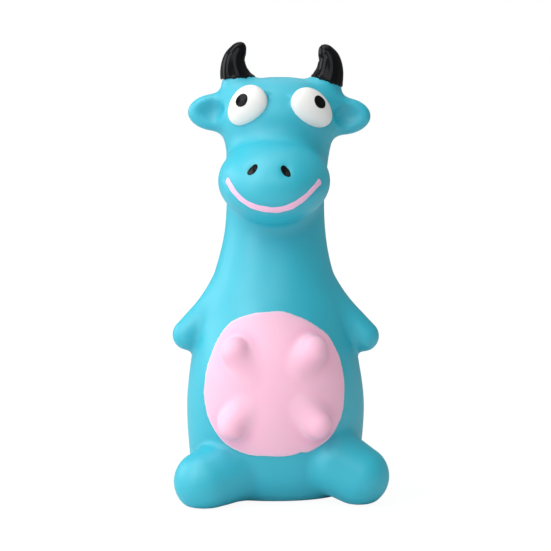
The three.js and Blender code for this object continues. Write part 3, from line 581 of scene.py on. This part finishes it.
horns = {  # along each horn: share of its length, x, y, z, radius
    "left": [(0.0, -13.2, 2, 152.1, 7.2), (0.2, -14.1, 2, 155.8, 6.3), (0.45, -15.2, 2, 160.4, 5.1),
             (0.68, -14.9, 2, 164.4, 4.15), (0.88, -13.1, 2, 167.8, 3.05), (1.0, -11.3, 2, 170.2, 2.5)],
    "right": [(0.0, 18.2, 2, 150.6, 7.2), (0.2, 19.3, 2, 154.8, 6.4), (0.45, 20.6, 2, 159.8, 5.2),
              (0.68, 20.4, 2, 164.0, 4.2), (0.88, 19.0, 2, 167.0, 3.1), (1.0, 17.5, 2, 169.4, 2.6)],
    "stumpShare": 0.8, "stumpParts": 6, "stumpSlim": 0.95, "stumpTaper": 0.3, "stumpTaperEnd": 0.5,
    "stumpUnder": 0.35, "stumpBlend": 5.0,
    "border": {"left": 157.0, "right": 155.8}, "borderTilt": {"left": 0.05, "right": -0.3},
    "ragged": 0.28, "raggedSeed": {"left": 1.0, "right": 4.0}, "paint": 0.25, "rimSunk": 0.25,
    "flutes": 6, "fluteDepth": 0.08, "fluteTurn": 0.5, "fluteRound": 0.12, "fluteEnd": 0.95, "fluteFade": 0.5,
    "tipFrom": 0.86, "tipLong": 0.14, "rings": 56, "spokes": 112,
    "rootShare": 0.45, "rootSpread": 0.9, "rootBlend": 0.82, "rootBlendFall": 1.8, "rootReach": 14,
}


def hornLimbs(side):  # the rubber stump under the paint, as short limbs end to end
    shares = np.linspace(0, horns["stumpShare"], horns["stumpParts"])
    rows = [[smoothThrough(horns[side], n, share) for n in (1, 2, 3, 4)] for share in shares]
    thin = [horns["stumpSlim"] - horns["stumpTaper"] * min(share, horns["stumpTaperEnd"]) for share in shares]
    slim = [row[3] * part - horns["stumpUnder"] for row, part in zip(rows, thin)]
    return [(a[:3], b[:3], low, high) for a, b, low, high in zip(rows[:-1], rows[1:], slim[:-1], slim[1:])]


stumpLimbs = hornLimbs("left") + hornLimbs("right")

eyes = {
    "left": {"x": -10.0, "z": 146.6, "size": (12.7, 16.3), "lean": 48,
             "pupil": (-12.0, 148.8), "pupilLean": 36, "seed": 1},
    "right": {"x": 13.7, "z": 145.8, "size": (12.3, 17.2), "lean": -55,
              "pupil": (16.7, 148.2), "pupilLean": -38, "seed": 2},
    "bulge": 4.2, "sunk": 0.5, "taper": 0.13, "taperEnd": 1.2, "turnShare": 0.75, "blend": 0.9,
    "paint": 0.3, "cutBehind": 2.4, "segments": 72, "rings": 40, "smoothAngle": 50,
    "pupilSize": (4.4, 5.4), "pupilRagged": 0.03, "pupilPaint": 0.22,
}


def eyeFrame(side):  # the dome's middle, and the ways across, up and out of it
    eye = eyes[side]
    front = onFront(plainDistance, eye["x"], eye["z"])
    outward = slopeOf(plainDistance, front[None])[1][0]
    turn = math.atan2(outward[0], -outward[1]) * eyes["turnShare"]
    lean = math.radians(eye["lean"])
    level, out = np.array([math.cos(turn), math.sin(turn), 0]), np.array([math.sin(turn), -math.cos(turn), 0])
    up = np.array([0, 0, 1.0])
    return (front + (0, eyes["sunk"], 0), level * math.cos(lean) - up * math.sin(lean),
            up * math.cos(lean) + level * math.sin(lean), out)


eyeFrames = {side: eyeFrame(side) for side in ("left", "right")}


def domeDistance(p, side, grown=0.0):  # an egg under the eye, or its paint where it is grown by that
    middle, across, up, out = eyeFrames[side]
    width, height = eyes[side]["size"]
    offset = p - middle
    halves = np.array([width / 2, height / 2, eyes["bulge"]]) + grown
    high = np.clip(offset @ up / halves[1], -eyes["taperEnd"], eyes["taperEnd"])
    local = np.stack([offset @ across / (1 + eyes["taper"] * high), offset @ up, offset @ out], axis=1)
    return ovalDistance(local, halves)


nostrils = {
    "left": {"x": -7.9, "z": 124.3, "lean": -30, "seed": 3},
    "right": {"x": 4.1, "z": 123.8, "lean": 24, "seed": 5},
    "size": (3.1, 5.0), "ragged": 0.05, "paint": 0.16, "dimple": 0.9, "dimpleReach": (1.7, 3.0, 2.2),
}
nostrilSpots = {side: onFront(plainDistance, nostrils[side]["x"], nostrils[side]["z"])
                for side in ("left", "right")}

mouth = {  # the smile's middle line, x and z
    "line": [(-17.1, 120.5), (-14.8, 116.8), (-12.6, 114.3), (-10.6, 112.7), (-8.5, 111.5), (-6.3, 110.7),
             (-4.0, 110.2), (-1.7, 109.9), (0.5, 109.8), (2.7, 110.1), (4.9, 110.7), (7.1, 111.7),
             (9.3, 113.1), (11.5, 114.8), (13.6, 116.9), (15.4, 118.8), (16.5, 120.0)],
    "width": 2.02, "height": 0.36, "sunk": 0.2, "sides": 13, "steps": 150, "crowded": 0.88,
    "waves": [(0.07, 0.45, 0), (0.05, 1.3, 1)],  # of the width: how much, how fast, and its start
    "thicker": (0.18, 0.56, 6), "endSwell": (0.16, 1.6), "endRound": 1.1,
    "groove": 0.45, "grooveReach": 1.5, "grooveFrom": -14, "grooveFade": 4,
}


def mouthGroove(p):  # how deep the smile is pressed in at each point
    line = np.array(mouth["line"])
    nearest = np.full(len(p), 1e9)
    flat = p[:, [0, 2]]
    for a, b in zip(line[:-1], line[1:]):
        share = np.clip((flat - a) @ (b - a) / ((b - a) @ (b - a)), 0, 1)
        nearest = np.minimum(nearest, np.linalg.norm(flat - a - share[:, None] * (b - a), axis=1))
    ahead = np.clip((mouth["grooveFrom"] - p[:, 1]) / mouth["grooveFade"], 0, 1)
    return mouth["groove"] * np.exp(-(nearest / mouth["grooveReach"]) ** 2) * ahead


def skinDistance(p):  # the whole outside of the rubber
    whole = plainDistance(p)
    stump = np.full(len(p), 1e3)
    for start, end, low, high in stumpLimbs:
        stump = np.minimum(stump, limbDistance(p, start, end, low, high))
    whole = softMin(whole, stump, horns["stumpBlend"])
    for side in ("left", "right"):
        whole = softMin(whole, domeDistance(p, side), eyes["blend"])
        gap = np.linalg.norm((p - nostrilSpots[side]) / nostrils["dimpleReach"], axis=1)
        whole = whole + nostrils["dimple"] * np.exp(-gap**2)
    return whole + mouthGroove(p)


# The rubber skin: blocked out, wrapped in one net, settled onto the form and opened for the squeaker
skin = {
    "voxel": 0.9, "quickCoarser": 1.6, "turns": 12, "evenTurns": 9, "evenShare": 0.45, "lastTurns": 3,
    "creaseReach": 5.0, "softRim": 1.5, "smoothAngle": 42,
    "blockSides": 40, "blockFoot": 0.5, "blockSlim": 8, "eyeBall": (13, 9, 14),
    "topUnder": 0.3, "topSize": (30, 24), "topPlace": (0.5, 2),
    "pocketWide": 13.3, "pocketHigh": 2.3, "hole": 10.0, "lipTop": 5.3, "chamber": 15.0, "chamberTop": 26,
    "cutFrom": -5, "cutSides": 72,
}


def addBall(place, size):
    bpy.ops.mesh.primitive_uv_sphere_add(segments=20, ring_count=12, radius=0.5, location=place, scale=size)


def addLimb(start, end, startRadius, endRadius, count=4):
    for share in np.linspace(0, 1, count):
        place = np.array(start, float) * (1 - share) + np.array(end, float) * share
        width = 2 * (startRadius * (1 - share) + endRadius * share)
        addBall(place, (width, width, width))


def blockedOut():  # rings extruded up the trunk, and balls for all that it carries
    width, depth, back = body["stations"][0][1:4]
    place, size = (0, back, skin["blockFoot"]), (width - skin["blockSlim"], depth - skin["blockSlim"])
    clearSelection()
    bpy.ops.mesh.primitive_circle_add(
        vertices=skin["blockSides"], radius=0.5, fill_type="NGON", location=place)
    block = bpy.context.object
    bpy.ops.object.transform_apply(location=True)
    bpy.ops.object.mode_set(mode="EDIT")
    bpy.ops.mesh.select_all(action="SELECT")
    bpy.ops.transform.resize(value=(*size, 1), center_override=place)
    top = (body["crown"] - skin["topUnder"], *skin["topSize"], *skin["topPlace"])
    for height, width, depth, back, aside in body["stations"] + [top]:
        step = (aside - place[0], back - place[1], height - place[2])
        bpy.ops.mesh.extrude_region_move(TRANSFORM_OT_translate={"value": step})
        place = (aside, back, height)
        bpy.ops.transform.resize(value=(width / size[0], depth / size[1], 1), center_override=place)
        size = (width, depth)
    addBall(body["muzzle"]["at"], body["muzzle"]["size"])
    addBall(udder["at"], udder["size"])
    for place in ears["at"]:
        addBall(place, ears["size"])
    for start, end in body["arms"]:
        addLimb(start, end, *body["armRadii"])
    for start, end in body["legs"]:
        addLimb(start, end, *body["legRadii"])
    for root, tip in teatLimbs:
        addLimb(root, tip, *udder["teatRadii"])
    for start, end, low, high in stumpLimbs:
        addLimb(start, end, low, high, 2)
    for side in ("left", "right"):
        addBall(eyeFrames[side][0], skin["eyeBall"])
    bpy.ops.object.mode_set(mode="OBJECT")
    return block


def turnedPiece(profile, steps):  # a profile of radius and height spun round the upright axis
    mesh = bpy.data.meshes.new("turned")
    mesh.from_pydata([(radius, 0, height) for radius, height in profile],
                     [(n, n + 1) for n in range(len(profile) - 1)], [])
    piece = bpy.data.objects.new("turned", mesh)
    bpy.context.collection.objects.link(piece)
    pickOnly(piece)
    bpy.ops.object.mode_set(mode="EDIT")
    bpy.ops.mesh.select_all(action="SELECT")
    bpy.ops.mesh.spin(steps=steps, angle=2 * math.pi, center=(0, 0, 0), axis=(0, 0, 1))
    bpy.ops.object.mode_set(mode="OBJECT")
    faceOutward(piece, 0.001)
    return piece


def cutPocket(piece):  # the squeaker's seat, the lip that grips it, and the hollow above
    wide, high, hole, chamber = skin["pocketWide"], skin["pocketHigh"], skin["hole"], skin["chamber"]
    lip, roof, under = skin["lipTop"], skin["chamberTop"], skin["cutFrom"]
    cutter = turnedPiece([(0, under), (wide, under), (wide, high), (hole, high), (hole, lip), (chamber, lip),
                          (chamber, roof), (0, roof)], skin["cutSides"])
    cut = piece.modifiers.new("pocket", "BOOLEAN")
    cut.operation, cut.solver, cut.object = "DIFFERENCE", "EXACT", cutter
    bpy.context.view_layer.objects.active = piece
    bpy.ops.object.modifier_apply(modifier=cut.name)
    bpy.data.objects.remove(cutter)


def makeSkin(finish):
    piece = blockedOut()
    remesh = piece.modifiers.new("wrap", "REMESH")
    remesh.mode = "VOXEL"
    remesh.voxel_size = skin["voxel"] * 1
    bpy.ops.object.modifier_apply(modifier=remesh.name)
    p, edges = pointsOf(piece), edgesOf(piece)
    print("skin wrapped:", len(p), "points")
    for turn in range(skin["turns"]):
        p = settled(p, skinDistance, 1)
        if turn < skin["evenTurns"]:
            p = evenedOut(p, edges, skin["evenShare"])
    p = settled(p, skinDistance, skin["lastTurns"])
    quads = np.empty(len(piece.data.polygons) * 4, int)
    piece.data.polygons.foreach_get("vertices", quads)
    netPoints, quads = p.copy(), quads.reshape(-1, 4)
    movePoints(piece, p)
    # The crease mark made here darkens the rubber's creases, a painted shade
    markRelief(piece, skinDistance, skin["creaseReach"])
    print("skin settled on its form")
    rim = skin["softRim"]  # rounds the edge where the seat and feet are cut flat
    p[:, 2] = np.maximum(p[:, 2], 0) + np.maximum(rim - np.abs(p[:, 2]), 0) ** 2 / (4 * rim)
    p[:, 2] -= p[:, 2].min()
    movePoints(piece, p)
    cutPocket(piece)
    toFrame(piece, "toy_skin_moulded", finish, skin["smoothAngle"])
    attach(piece, "toy")
    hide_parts("toy_skin")
    print("skin finished:", len(piece.data.vertices), "points")
    return piece, netPoints, quads


# Coats of paint, each a thin shell on the form whose rim sinks in; spots are the pupils and nostrils
spots = {"rings": 14, "spokes": 56, "rimSunk": 0.25}


def discNet(rings, spokes):  # shares out from the middle, angles, and faces of a round net
    shares, angles, faces = [0.0], [0.0], []
    for ring in range(1, rings + 1):
        for spoke in range(spokes):
            shares.append(ring / rings)
            angles.append(2 * math.pi * spoke / spokes)
            low, ahead = 1 + (ring - 1) * spokes, (spoke + 1) % spokes
            if ring == 1:
                faces.append((0, 1 + spoke, 1 + ahead))
            else:
                faces.append((low - spokes + spoke, low + spoke, low + ahead, low - spokes + ahead))
    return np.array(shares), np.array(angles), faces


def rimHeight(shares, width, thick):  # a coat's height, rounded down at its rim
    sunk = spots["rimSunk"]
    ahead = np.clip((1 - shares) * width, 0, thick)
    return (thick + sunk) * np.sqrt(np.clip(1 - (1 - ahead / thick) ** 2, 0, 1)) - sunk


def spotWays(field, spot):  # level, upward and outward from a place on a form
    facing = slopeOf(field, spot[None])[1][0]
    level = np.array([-facing[1], facing[0], 0.0]) / math.hypot(facing[0], facing[1])
    return level, np.cross(facing, level), facing


def spotPiece(name, middle, ways, outline, field, thick):
    across, up, out = ways
    shares, angles, faces = discNet(spots["rings"], spots["spokes"])
    shares = np.sin(shares * math.pi / 2)
    flat = outline(angles) * shares[:, None]
    p = middle + flat[:, :1] * across + flat[:, 1:] * up
    p = castBack(field, p, -out, 12, 8)
    slope = slopeOf(field, p)[1]
    reach = np.linalg.norm(outline(angles), axis=1)
    p = p + slope * rimHeight(shares, reach, thick)[:, None]
    return netPiece(name, p, faces)


def leanedOval(size, lean, ragged, seed):  # an oval outline, a little uneven
    width, height = size[0] / 2, size[1] / 2
    tilt = math.radians(lean)

    def outline(angles):
        uneven = 1 + ragged * (0.6 * np.sin(2 * angles + seed) + 0.4 * np.sin(3 * angles + 2.3 * seed)
                               + 0.3 * np.sin(5 * angles + 1.7 * seed))
        across, along = width * np.cos(angles) * uneven, height * np.sin(angles) * uneven
        return np.stack([across * math.cos(tilt) + along * math.sin(tilt),
                         along * math.cos(tilt) - across * math.sin(tilt)], axis=1)
    return outline


def makeEye(side, white, black):
    eye, grown = eyes[side], eyes["paint"]
    middle, across, up, out = eyeFrames[side]
    clearSelection()
    bpy.ops.mesh.primitive_uv_sphere_add(segments=eyes["segments"], ring_count=eyes["rings"], radius=1)
    piece = bpy.context.object
    unit = pointsOf(piece)
    width, height = eye["size"]
    wide = (width / 2 + grown) * (1 + eyes["taper"] * unit[:, 1])
    p = (middle + (unit[:, 0] * wide)[:, None] * across + (unit[:, 1] * (height / 2 + grown))[:, None] * up
         + (unit[:, 2] * (eyes["bulge"] + grown))[:, None] * out)
    movePoints(piece, p)
    bpy.ops.object.mode_set(mode="EDIT")
    bpy.ops.mesh.select_all(action="SELECT")
    behind = tuple(middle - eyes["cutBehind"] * out)
    bpy.ops.mesh.bisect(plane_co=behind, plane_no=tuple(out), clear_inner=True, use_fill=True)
    bpy.ops.object.mode_set(mode="OBJECT")
    faceOutward(piece)
    toFrame(piece, f"eye_{side}_white", white, eyes["smoothAngle"])
    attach(piece, "toy")
    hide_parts(f"eye_white_{side}")

    def onWhite(q):
        return domeDistance(q, side, grown)

    x, z = eye["pupil"]
    spot = castBack(onWhite, np.array([[x, 0.0, z]]), (0, 1, 0), 40, 10)[0]
    outline = leanedOval(eyes["pupilSize"], eye["pupilLean"], eyes["pupilRagged"], eye["seed"])
    pupil = spotPiece("pupil", spot, spotWays(onWhite, spot), outline, onWhite, eyes["pupilPaint"])
    toFrame(pupil, f"eye_{side}_pupil", black)
    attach(pupil, "toy")
    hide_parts(f"pupil_{side}")
    return [piece, pupil]


def makeNostril(side, black):
    spot = nostrilSpots[side]
    lean, seed = nostrils[side]["lean"], nostrils[side]["seed"]
    outline = leanedOval(nostrils["size"], -lean, nostrils["ragged"], seed)
    ways = spotWays(plainDistance, spot)
    piece = spotPiece("nostril", spot, ways, outline, skinDistance, nostrils["paint"])
    toFrame(piece, f"nostril_{side}_spot", black)
    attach(piece, "toy")
    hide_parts(f"nostril_{side}")
    return piece


def makeMouth(finish):
    line, width, sunk = np.array(mouth["line"]), mouth["width"], mouth["sunk"]
    even = np.linspace(0, 1, mouth["steps"])
    steps = (len(line) - 1) * (even - mouth["crowded"] * np.sin(2 * math.pi * even) / (2 * math.pi))
    table = np.column_stack([np.arange(len(line)), line])
    x, z = smoothThrough(table, 1, steps), smoothThrough(table, 2, steps)
    p = castBack(skinDistance, np.column_stack([x, np.zeros_like(x), z]), (0, 1, 0), 45, 0)
    slope = slopeOf(skinDistance, p)[1]
    along = np.gradient(p, axis=0)
    along /= np.linalg.norm(along, axis=1)[:, None]
    aside = np.cross(along, slope)
    length = np.concatenate([[0], np.cumsum(np.linalg.norm(np.diff(p, axis=0), axis=1))])
    half = width / 2 * (1 + sum(more * np.sin(length * rate + start) for more, rate, start in mouth["waves"]))
    more, at, reach = mouth["thicker"]
    half *= 1 + more * np.exp(-((length - length[-1] * at) / reach) ** 2)
    half /= np.clip(np.linalg.norm(aside[:, [0, 2]], axis=1), 0.6, 1)  # as wide in the front view
    ends = np.minimum(length, length[-1] - length)
    more, reach = mouth["endSwell"]
    half *= 1 + more * np.exp(-(ends / reach) ** 2)
    half *= np.sqrt(np.clip(1 - (1 - np.minimum(ends / mouth["endRound"], 1)) ** 2, 0.0004, 1))
    rows = []
    for turn in np.radians(np.linspace(0, 180, mouth["sides"])):
        q = settled(p + aside * (half * math.cos(turn))[:, None], skinDistance, 3)
        lift = (mouth["height"] + sunk) * math.sin(turn) * np.minimum(half / (width / 2), 1) - sunk
        rows.append(q + slopeOf(skinDistance, q)[1] * lift[:, None])
    piece = netPiece("mouth", np.concatenate(rows), gridFaces(len(rows), len(steps)))
    toFrame(piece, "mouth_line_paint", finish)
    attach(piece, "toy")
    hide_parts("mouth_line")
    return piece


udderEdge = {  # the painted edge seen from the front: its middle, and its reach every 15 degrees
    "middle": (-0.2, 46.1),
    "radii": [25.8, 25.7, 26.0, 26.0, 25.9, 26.1, 26.2, 26.5, 26.9, 26.6, 25.5, 25.0,
              25.6, 26.5, 27.6, 28.8, 28.5, 27.6, 27.0, 27.4, 28.8, 29.0, 28.2, 26.9],
    "brush": [(0.12, 9, 1), (0.09, 17, 2)],  # waves along the edge: how much, how many, and their start
    "notch": (0.7, 291, 3.5),  # how deep, at what angle, and how wide in degrees
    # Near its edge the pink is painted paler, a painted highlight on the paint's step, over the reach given
    # below
    "front": -8, "leastShare": 0.3, "rimHighlightReach": 1.1, "creaseReach": 4.0,
    "paint": 0.36, "rimSunk": 0.15, "slope": 0.7,
}


def udderReach(angles):
    radii = udderEdge["radii"]
    table = [(15 * n, radii[n % 24]) for n in range(-2, 27)]
    turn = np.degrees(angles) % 360
    brush = sum(much * np.sin(count * angles + start) for much, count, start in udderEdge["brush"])
    deep, at, wide = udderEdge["notch"]
    return smoothThrough(table, 1, turn) + brush - deep * np.exp(-((turn - at) / wide) ** 2)


def makeUdder(finish, points, quads):  # paint on the skin's own net, trimmed to the painted edge
    flat = points[:, [0, 2]] - udderEdge["middle"]
    away = np.linalg.norm(flat, axis=1)
    reach = udderReach(np.arctan2(flat[:, 1], flat[:, 0]))
    within = reach - away
    inner = (points[:, 1] < udderEdge["front"]) & (within > udderEdge["leastShare"] * skin["voxel"])
    faces = quads[inner[quads].any(1)]
    used, order = np.unique(faces, return_inverse=True)
    faces = order.reshape(-1, 4)
    p, within, rim = points[used], within[used], ~inner[used]
    trimmed = flat[used][rim] * (reach[used][rim] / away[used][rim])[:, None] + udderEdge["middle"]
    trimmed = np.column_stack([trimmed[:, 0], np.zeros(rim.sum()), trimmed[:, 1]])
    p[rim] = castBack(skinDistance, trimmed, (0, 1, 0), 45, 0)
    within[rim] = 0
    piece = netPiece("udder", p, faces)
    # The crease and ridge marks give the pink its painted shade and painted highlight
    markRelief(piece, skinDistance, udderEdge["creaseReach"])
    # Painted highlight: the pink turns paler along the paint's edge, where its step would catch the light
    pale = piece.data.attributes.new("rim", "FLOAT", "POINT")
    pale.data.foreach_set("value", np.clip(1 - within / udderEdge["rimHighlightReach"], 0, 1))
    ahead = np.clip(within / udderEdge["slope"], 0, 1)
    sunk = udderEdge["rimSunk"]
    height = (udderEdge["paint"] + sunk) * np.sqrt(1 - (1 - ahead) ** 2) - sunk
    here, slope, steep = slopeOf(skinDistance, p)
    movePoints(piece, p + slope * (height - here / steep)[:, None])
    toFrame(piece, "udder_paint", finish)
    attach(piece, "belly")
    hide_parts("udder_coat")
    print("udder painted:", len(piece.data.vertices), "points")
    return piece


def makeHorn(side, black):
    table, rings, spokes, paint = horns[side], horns["rings"], horns["spokes"], horns["paint"]
    turn = np.linspace(0, 2 * math.pi, spokes, endpoint=False)
    seed = horns["raggedSeed"][side]
    ragged = horns["ragged"] * (np.sin(9 * turn + seed) * 0.5 + np.sin(17 * turn + 2 * seed) * 0.35
                                + np.sin(31 * turn + 3 * seed) * 0.3 + np.abs(np.sin(4 * turn + seed)) * 0.5)
    lean = (table[1][1] - table[0][1]) / (table[1][3] - table[0][3])
    tilt = (horns["borderTilt"][side] + lean) * table[1][4] * np.cos(turn)
    borderZ = horns["border"][side] + tilt + ragged
    startShare = np.interp(borderZ, [row[3] for row in table], [row[0] for row in table])
    ring = np.repeat(np.arange(rings + 1) / rings, spokes)
    angles, low = np.tile(turn, rings + 1), np.tile(startShare, rings + 1)
    share = low + (1 - low) * ring
    x, y, z, radius = (smoothThrough(table, n, share) for n in (1, 2, 3, 4))
    way = np.stack([smoothThrough(table, n, np.minimum(share + 0.02, 1))
                    - smoothThrough(table, n, np.maximum(share - 0.02, 0)) for n in (1, 3)], axis=1)
    way /= np.linalg.norm(way, axis=1)[:, None]
    rounding = np.sqrt(np.clip(1 - (np.clip(share - horns["tipFrom"], 0, 1) / horns["tipLong"]) ** 2, 0.0, 1))
    fade = np.clip((horns["fluteEnd"] - share) / horns["fluteFade"], 0, 1)
    flute = np.sqrt(np.cos(horns["flutes"] / 2 * angles + horns["fluteTurn"]) ** 2 + horns["fluteRound"])
    wide = radius * rounding * (1 - horns["fluteDepth"] * fade * (1 - flute))
    outward = np.stack([way[:, 1] * np.cos(angles), np.sin(angles), -way[:, 0] * np.cos(angles)], axis=1)
    axis = np.stack([x, y, z], axis=1)
    near = ring < horns["rootShare"]  # here the paint widens onto the skull
    foot = castBack(skinDistance, axis[near], -outward[near], horns["rootReach"], 0, paint) - axis[near]
    reach = np.minimum(np.linalg.norm(foot, axis=1), radius[near] + horns["rootSpread"])
    wide[near] = softMax(wide[near], reach, horns["rootBlend"] - horns["rootBlendFall"] * ring[near])
    points = axis + outward * wide[:, None]
    here, slope, steep = slopeOf(skinDistance, points)
    short = np.clip(paint - here / steep, 0, 2)
    points = points + slope * short[:, None]
    points[:spokes] -= slope[:spokes] * (paint + horns["rimSunk"])
    piece = netPiece("horn", points, gridFaces(rings + 1, spokes, closed=True))
    faceOutward(piece, 0.01)
    toFrame(piece, f"horn_{side}_paint", black)
    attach(piece, "toy")
    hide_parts(f"horn_coat_{side}")
    return piece


# The squeaker's cup, turned from radii and heights; the pieces inside it stay as the CAD has them
squeaker = {
    "hole": 1.6, "flange": 13.0, "neck": 9.7, "bore": 8.5, "barb": 11.0, "edge": 0.35, "soft": 0.2,
    "under": 0.8, "plate": 2.0, "grip": 5.6, "barbTop": 7.9, "top": 15.3,
    "grooves": (3.4, 9.2), "grooveDeep": 0.25, "sides": 96, "smoothAngle": 40,
}


def makeHousing(finish):
    s = squeaker
    hole, flange, neck, bore, barb = s["hole"], s["flange"], s["neck"], s["bore"], s["barb"]
    under, plate, grip, barbTop, top = s["under"], s["plate"], s["grip"], s["barbTop"], s["top"]
    edge, soft, deep = s["edge"], s["soft"], under + s["grooveDeep"]
    profile = [(hole, under + 0.3), (hole + 0.3, under)]
    for start in squeaker["grooves"]:
        profile += [(start, under), (start + 0.3, deep), (start + 0.9, deep), (start + 1.2, under)]
    profile += [(flange - edge, under), (flange - 0.1, under + 0.1), (flange, under + edge),
                (flange, plate - edge), (flange - edge, plate), (neck + soft, plate), (neck, plate + soft),
                (neck, grip), (barb - soft, grip), (barb, grip + soft), (neck + 0.1, barbTop),
                (neck, barbTop + soft), (neck, top - soft), (neck - soft, top), (bore + soft, top),
                (bore, top - soft), (bore, plate + soft), (bore - soft, plate), (hole + 0.3, plate),
                (hole, plate - 0.3), (hole, under + 0.3)]
    piece = turnedPiece(profile, squeaker["sides"])
    toFrame(piece, "squeaker_cup", finish, squeaker["smoothAngle"])
    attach(piece, "toy")
    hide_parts("squeaker_housing")


def dressInside(plastic, brass):
    for node, finish in (("squeaker_cover", plastic), ("reed_seat", plastic), ("reed", brass),
                         ("reed_collar", brass)):
        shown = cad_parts[node]
        shown.data.materials.clear()
        shown.data.materials.append(finish)


makeCamera()
makeLamps()
makeStage()
print("studio ready")
blue, white, black = rubberFinish(), whiteFinish(), blackFinish()
plastic, brass = plasticFinish(), brassFinish()
pink = pinkFinish("udderPink", pinkPaint["main"], pinkPaint["through"])
pinkLine = pinkFinish("mouthPink", pinkPaint["line"], pinkPaint["lineThrough"])
print("finishes mixed")
skinPiece, skinPoints, skinQuads = makeSkin(blue)
udderPiece = makeUdder(pink, skinPoints, skinQuads)
facePieces = [makeMouth(pinkLine)] + makeEye("left", white, black) + makeEye("right", white, black)
facePieces += [makeNostril(side, black) for side in ("left", "right")]
facePieces += [makeHorn(side, black) for side in ("left", "right")]
print("face and horns painted")
makeHousing(plastic)
dressInside(plastic, brass)
print("squeaker fitted")

# Each piece of skin and paint gets a mesh of its own. Squeezed, the toy's skin flattens toward the squeaker's
# axis, and its paint with it
for piece in [skinPiece] + facePieces:
    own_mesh(piece)
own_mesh(udderPiece)

view = bpy.context.scene.view_settings
view.view_transform = "Standard"
